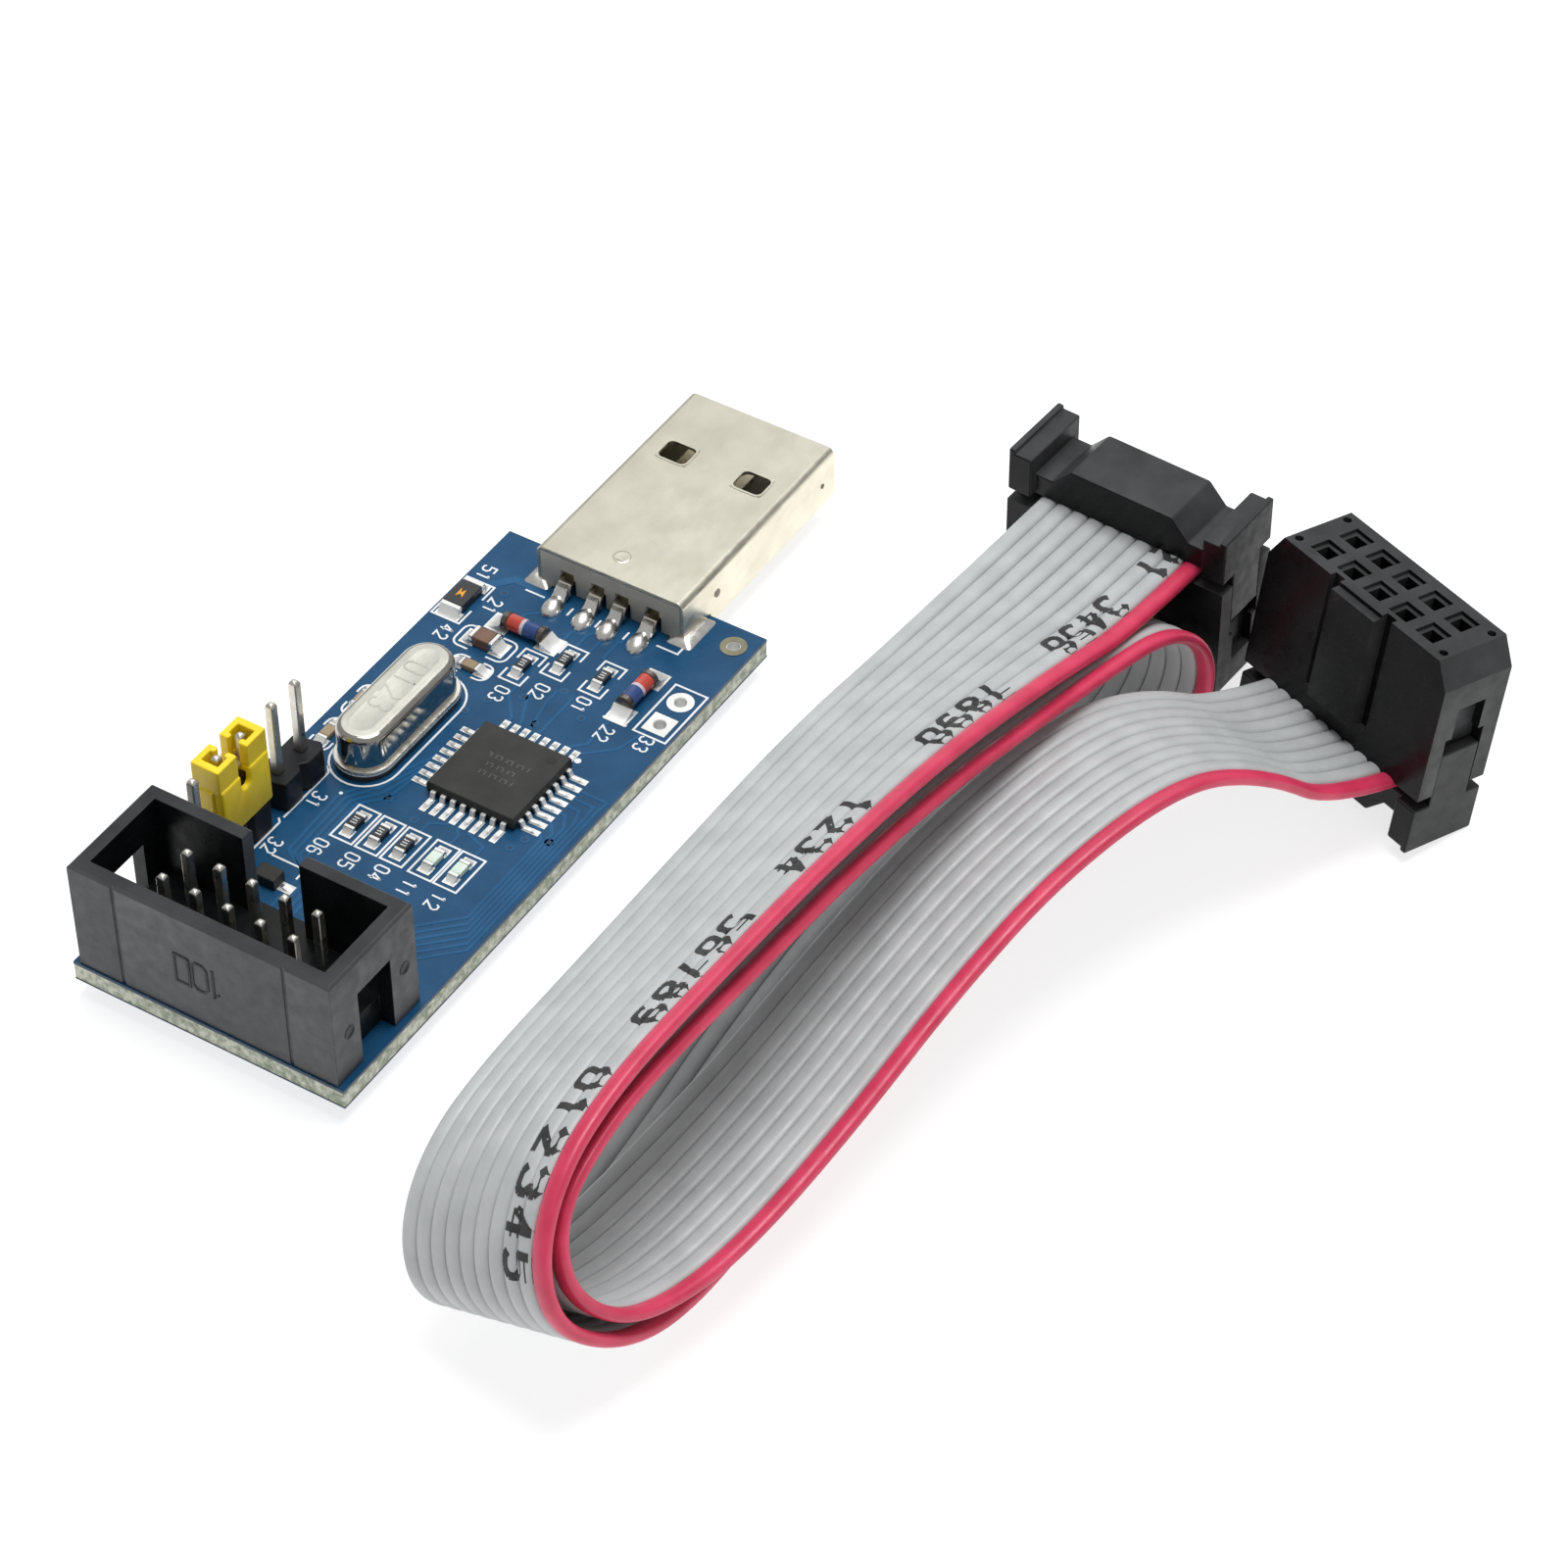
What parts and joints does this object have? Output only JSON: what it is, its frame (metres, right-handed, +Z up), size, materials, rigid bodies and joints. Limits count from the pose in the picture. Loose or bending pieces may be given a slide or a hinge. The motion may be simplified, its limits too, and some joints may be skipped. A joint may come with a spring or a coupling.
{
  "type": "usb microcontroller programmer",
  "caption": "Bare circuit board with a USB plug, a keyed box header, jumper pins and a small chip, and a flat ribbon cable with a socket on each end.",
  "frame": {"origin": "on the table, under the middle of the programmer without its cable", "axes": "+X from the box header to the USB plug, +Y across the board towards the jumpers, +Z up"},
  "size_m": [0.0824, 0.0695, 0.0196],
  "materials": {
    "board_laminate": "blue solder mask over fibreglass, pale cut edges",
    "can_steel": "polished drawn can",
    "cap_plastic": "moulded yellow",
    "capacitor_ceramic": "fired ceramic",
    "chip_epoxy": "moulded epoxy",
    "contact_gold": "gold flash",
    "cover_plastic": "moulded grey",
    "diode_glass": "clear with orange body",
    "diode_metal": "tin plated",
    "fuse_black": "moulded",
    "header_plastic": "moulded black, slightly worn",
    "insulator_plastic": "moulded black",
    "led_lens": "milky lens",
    "pin_metal": "tin plated",
    "resistor_film": "black glaze",
    "shell_steel": "nickel plated, faintly stained",
    "socket_plastic": "moulded black",
    "solder_metal": "bright solder",
    "spring_metal": "plated spring bronze",
    "wire_grey": "soft vinyl",
    "wire_red": "soft vinyl"
  },
  "bodies": {
    "programmer": {"box_header_pins": "pin_metal", "box_header_shroud": "header_plastic", "capacitor_bodies": "capacitor_ceramic", "capacitor_terminals": "solder_metal", "circuit_board": "board_laminate", "crystal_base": "can_steel", "crystal_can": "can_steel", "crystal_leads": "pin_metal", "crystal_spacer": "header_plastic", "header_solder_cones": "solder_metal", "jumper_header_2way_base": "header_plastic", "jumper_header_2way_pins": "pin_metal", "jumper_header_3way_base": "header_plastic", "jumper_header_3way_pins": "pin_metal", "led_bodies": "led_lens", "led_terminals": "solder_metal", "microcontroller_body": "chip_epoxy", "microcontroller_leads": "solder_metal", "notch_diode_body": "chip_epoxy", "notch_diode_leads": "solder_metal", "polyfuse_body": "fuse_black", "polyfuse_terminals": "solder_metal", "resistor_bodies": "resistor_film", "resistor_terminals": "solder_metal", "usb_contacts": "contact_gold", "usb_insulator": "insulator_plastic", "usb_pad_solder": "solder_metal", "usb_rear_cover": "cover_plastic", "usb_shell": "shell_steel", "zener_diode_caps": "diode_metal", "zener_diode_glass": "diode_glass"},
    "jumper": {"jumper_cap_housing": "cap_plastic", "jumper_cap_clip": "spring_metal"},
    "cable": {"idc_socket_a_body": "socket_plastic", "idc_socket_a_contacts": "spring_metal", "idc_socket_a_cover": "socket_plastic", "idc_socket_b_body": "socket_plastic", "idc_socket_b_contacts": "spring_metal", "idc_socket_b_cover": "socket_plastic", "ribbon_cable": "wire_grey", "ribbon_marker_wire": "wire_red"}
  },
  "joints": [
    {"name": "jumper_pull", "type": "slide", "parent": "programmer", "child": "jumper", "axis": [0, 0, 1], "range_m": [0, 0.009]},
    {"name": "cable_lift", "type": "slide", "parent": "programmer", "child": "cable", "axis": [0, 0, 1], "range_m": [0, 0.03]}
  ]
}
